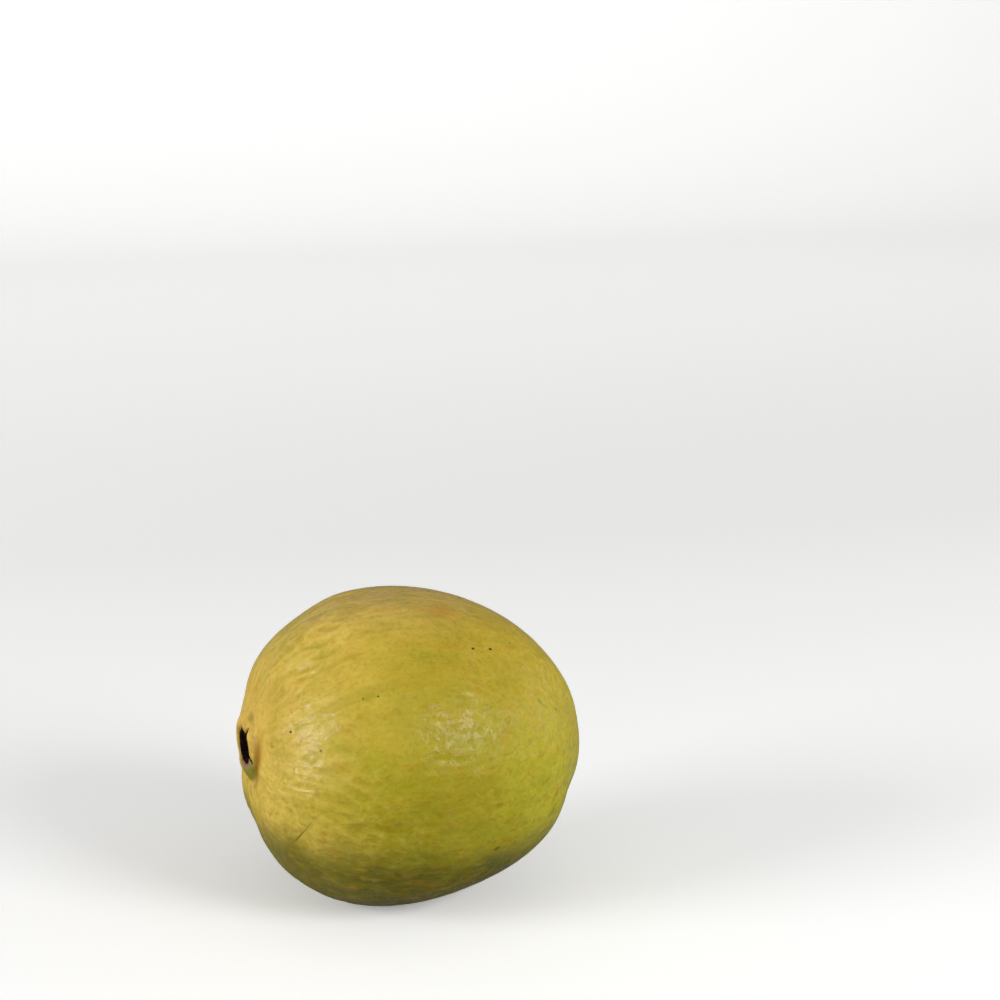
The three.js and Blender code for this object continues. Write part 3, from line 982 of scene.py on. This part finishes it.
DRY_CLOUDS = (900.0, (0.35, 0.7))
DRY_DARK, DRY_PALE = (62, 34, 16), (118, 80, 42)
DRY_ROUGHNESS, DRY_SPECULAR = 0.85, 0.1


def dried_finish():
    """Dry brown threads with paler patches."""
    material, tree, shader = new_material("dried_finish")
    patches = clouds(tree, object_place(tree), *DRY_CLOUDS)
    threads = blend(tree, patches, seen(*DRY_DARK), seen(*DRY_PALE))
    tree.links.new(threads, shader.inputs["Base Color"])
    shader.inputs["Roughness"].default_value = DRY_ROUGHNESS
    shader.inputs["Specular IOR Level"].default_value = DRY_SPECULAR
    return material


# ---- Stage, light and camera ----

FRUIT_PIXEL = (409.5, 742.5)  # where the fruit's centre falls in a frame of 1000 by 1000
VIEW_AZIMUTH = -13.0  # degrees, towards the calyx end
VIEW_ELEVATION = 19.4
VIEW_DISTANCE = 0.62
FOCAL_PIXELS = 2391.0
FRAME_PIXELS = 1000.0
SENSOR = 36.0  # mm across
CLIP_START = 0.01

# The floor, metres: its sides and front edge, where it bends up behind, and the wall's top.
FLOOR_SIDE, FLOOR_FRONT, FLOOR_LEVEL = 8.0, -8.0, 1.2
WALL_BEND, WALL_TOP, BEND_ROWS = 0.7, 2.4, 24
# It looks pale to the camera, and grey to the light that it throws back on the fruit.
PAPER_THROWN, PAPER_SEEN = (0.3, 0.3, 0.29, 1.0), (0.95, 0.95, 0.94, 1.0)
PAPER_GLOW, PAPER_ROUGHNESS = 0.22, 0.9
WHITE = (1.0, 1.0, 1.0, 1.0)
WORLD_LIGHT, WORLD_SEEN = 0.3, 0.55  # strength, and how much more the camera sees


def from_fruit(azimuth, elevation, distance):
    """Point at a distance from the fruit's centre: azimuth 0 is in front, on the -Y side."""
    a, e = radians(azimuth), radians(elevation)
    return FRUIT_CENTRE + distance * Vector((sin(a) * cos(e), -cos(a) * cos(e), sin(e)))


def add_camera():
    """Level camera whose axis is turned and tilted so that the fruit falls on its pixel."""
    across = (FRUIT_PIXEL[0] - FRAME_PIXELS / 2) / FOCAL_PIXELS
    down = (FRUIT_PIXEL[1] - FRAME_PIXELS / 2) / FOCAL_PIXELS
    sight = sin(radians(VIEW_ELEVATION)) * sqrt(1 + across**2 + down**2) / sqrt(1 + down**2)
    tilt = asin(sight) - atan(down)
    turn = radians(VIEW_AZIMUTH) + atan2(across, cos(tilt) - down * sin(tilt))
    forward = Vector((-sin(turn) * cos(tilt), cos(turn) * cos(tilt), -sin(tilt)))
    camera = bpy.data.objects.new("camera", bpy.data.cameras.new("camera"))
    camera.data.sensor_width = SENSOR
    camera.data.lens = FOCAL_PIXELS / FRAME_PIXELS * SENSOR
    camera.data.clip_start = CLIP_START
    camera.location = from_fruit(VIEW_AZIMUTH, VIEW_ELEVATION, VIEW_DISTANCE)
    camera.rotation_euler = forward.to_track_quat("-Z", "Y").to_euler()
    bpy.context.scene.collection.objects.link(camera)
    bpy.context.scene.camera = camera


def add_softbox(name, place, aim, size, power):
    """Rectangular area light that faces its aim and that the camera doesn't see."""
    light = bpy.data.lights.new(name, "AREA")
    light.shape = "RECTANGLE"
    light.size, light.size_y = size
    light.energy = power
    softbox = bpy.data.objects.new(name, light)
    softbox.visible_camera = False
    softbox.location = place
    softbox.rotation_euler = (aim - place).to_track_quat("-Z", "Y").to_euler()
    bpy.context.scene.collection.objects.link(softbox)


def pale_paper():
    """Matt paper that looks brighter to the camera than to the light it throws back."""
    material, tree, shader = new_material("pale_paper")
    camera_ray = put(tree, "ShaderNodeLightPath").outputs["Is Camera Ray"]
    paper = blend(tree, camera_ray, PAPER_THROWN, PAPER_SEEN)
    tree.links.new(paper, shader.inputs["Base Color"])
    tree.links.new(times(tree, camera_ray, PAPER_GLOW), shader.inputs["Emission Strength"])
    shader.inputs["Emission Color"].default_value = WHITE
    shader.inputs["Roughness"].default_value = PAPER_ROUGHNESS
    return material


def add_floor():
    """Pale sheet that runs back level, then curves up into a wall behind the fruit."""
    angles = np.linspace(0, pi / 2, BEND_ROWS)
    wall_y = FLOOR_LEVEL + WALL_BEND
    y = np.concatenate(([FLOOR_FRONT], FLOOR_LEVEL + WALL_BEND * np.sin(angles), [wall_y]))
    z = np.concatenate(([0.0], WALL_BEND * (1 - np.cos(angles)), [WALL_TOP]))
    points = [(side, a, b) for a, b in zip(y, z) for side in (-FLOOR_SIDE, FLOOR_SIDE)]
    faces = [(2 * i, 2 * i + 1, 2 * i + 3, 2 * i + 2) for i in range(len(y) - 1)]
    floor = new_piece("floor", np.array(points), faces, {})
    floor.data.materials.append(pale_paper())


def add_world():
    """Even white surroundings, brighter to the camera than as light."""
    world = bpy.data.worlds.new("studio")
    world.use_nodes = True
    tree = world.node_tree
    background = tree.nodes["Background"]
    background.inputs["Color"].default_value = WHITE
    camera_ray = put(tree, "ShaderNodeLightPath").outputs["Is Camera Ray"]
    strength = plus(tree, times(tree, camera_ray, WORLD_SEEN), WORLD_LIGHT)
    tree.links.new(strength, background.inputs["Strength"])
    bpy.context.scene.world = world


# Softboxes: name, place, aim, width and height in metres, power in watts.
SOFTBOXES = (
    ("left_softbox", from_fruit(-80, 4, 1.1), FRUIT_CENTRE, (0.5, 1.1), 17.5),
    ("right_softbox", from_fruit(37, 24, 1.2), FRUIT_CENTRE, (0.5, 0.5), 8.5),
    ("right_fill", from_fruit(75, 6, 1.3), FRUIT_CENTRE, (2.0, 1.2), 7.0),
    ("backdrop_softbox", Vector((0.0, 0.7, 1.3)), Vector((0.0, 2.2, 0.9)), (2.6, 0.8), 15.0),
)

# ---- The scene ----

add_camera()
add_floor()
add_world()
for softbox in SOFTBOXES:
    add_softbox(*softbox)
bpy.context.scene.view_settings.view_transform = "Standard"

skin = guava_skin()
skin.data.materials.append(guava_skin_finish())
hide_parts(NODE)
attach(skin, "root")

remains = calyx_remains()
remains.data.materials.append(dried_finish())
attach(remains, "root")
